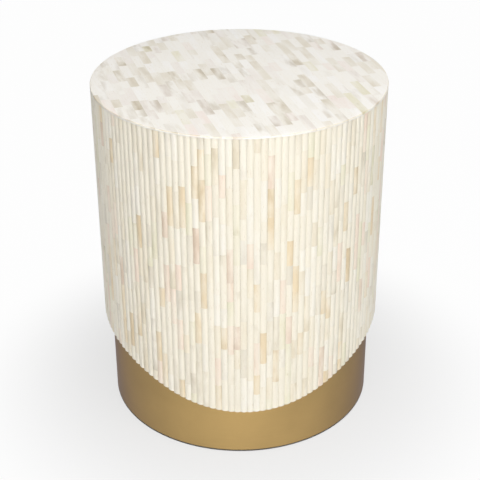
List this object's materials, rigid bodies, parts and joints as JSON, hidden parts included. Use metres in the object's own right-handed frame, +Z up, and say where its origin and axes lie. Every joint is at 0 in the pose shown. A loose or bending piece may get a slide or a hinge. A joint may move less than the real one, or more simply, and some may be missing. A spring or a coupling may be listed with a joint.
{
  "type": "side table",
  "caption": "Round drum side table: bone-strip top, reeded bone wall with a curved hem, on a recessed satin-brass plinth.",
  "frame": {"origin": "on the floor, under the centre of the drum", "axes": "+Z up along the drum's axis; the front, where the hem dips lowest, faces -Y; +X to the right seen from the front"},
  "size_m": [0.45, 0.45, 0.545],
  "materials": {
    "wall_bone": "satin",
    "top_bone": "satin",
    "seam_resin": "satin",
    "satin_brass": "satin",
    "sealed_board": "matte",
    "board": "matte",
    "plywood": "matte",
    "softwood": "matte",
    "nylon": "matte",
    "steel": "satin"
  },
  "bodies": {
    "root": {"base_disc": "sealed_board", "base_screws": "steel", "bolt_washers": "steel", "bone_reeds_01": "wall_bone", "bone_reeds_02": "wall_bone", "bone_reeds_03": "wall_bone", "bone_reeds_04": "wall_bone", "bone_reeds_05": "wall_bone", "bone_reeds_06": "wall_bone", "bone_reeds_07": "wall_bone", "bone_reeds_08": "wall_bone", "bone_reeds_09": "wall_bone", "bone_reeds_10": "wall_bone", "bone_reeds_11": "wall_bone", "bone_reeds_12": "wall_bone", "bone_top_strips": "top_bone", "brass_band": "satin_brass", "drum_floor_disc": "board", "drum_floor_screws": "steel", "drum_shell_back": "plywood", "drum_shell_front": "plywood", "drum_stud_1": "softwood", "drum_stud_2": "softwood", "drum_stud_3": "softwood", "drum_stud_4": "softwood", "drum_stud_5": "softwood", "drum_stud_6": "softwood", "drum_stud_7": "softwood", "drum_stud_8": "softwood", "floor_glide_1": "nylon", "floor_glide_2": "nylon", "floor_glide_3": "nylon", "floor_glide_4": "nylon", "glide_screws": "steel", "joining_bolts": "steel", "middle_ring": "board", "plinth_block_1": "softwood", "plinth_block_2": "softwood", "plinth_block_3": "softwood", "plinth_block_4": "softwood", "plinth_block_5": "softwood", "plinth_block_6": "softwood", "plinth_skin_back": "plywood", "plinth_skin_front": "plywood", "plinth_top_disc": "board", "plinth_top_screws": "steel", "tee_nuts": "steel", "top_board": "board", "top_board_screws": "steel", "top_seam_resin": "seam_resin"}
  },
  "joints": []
}
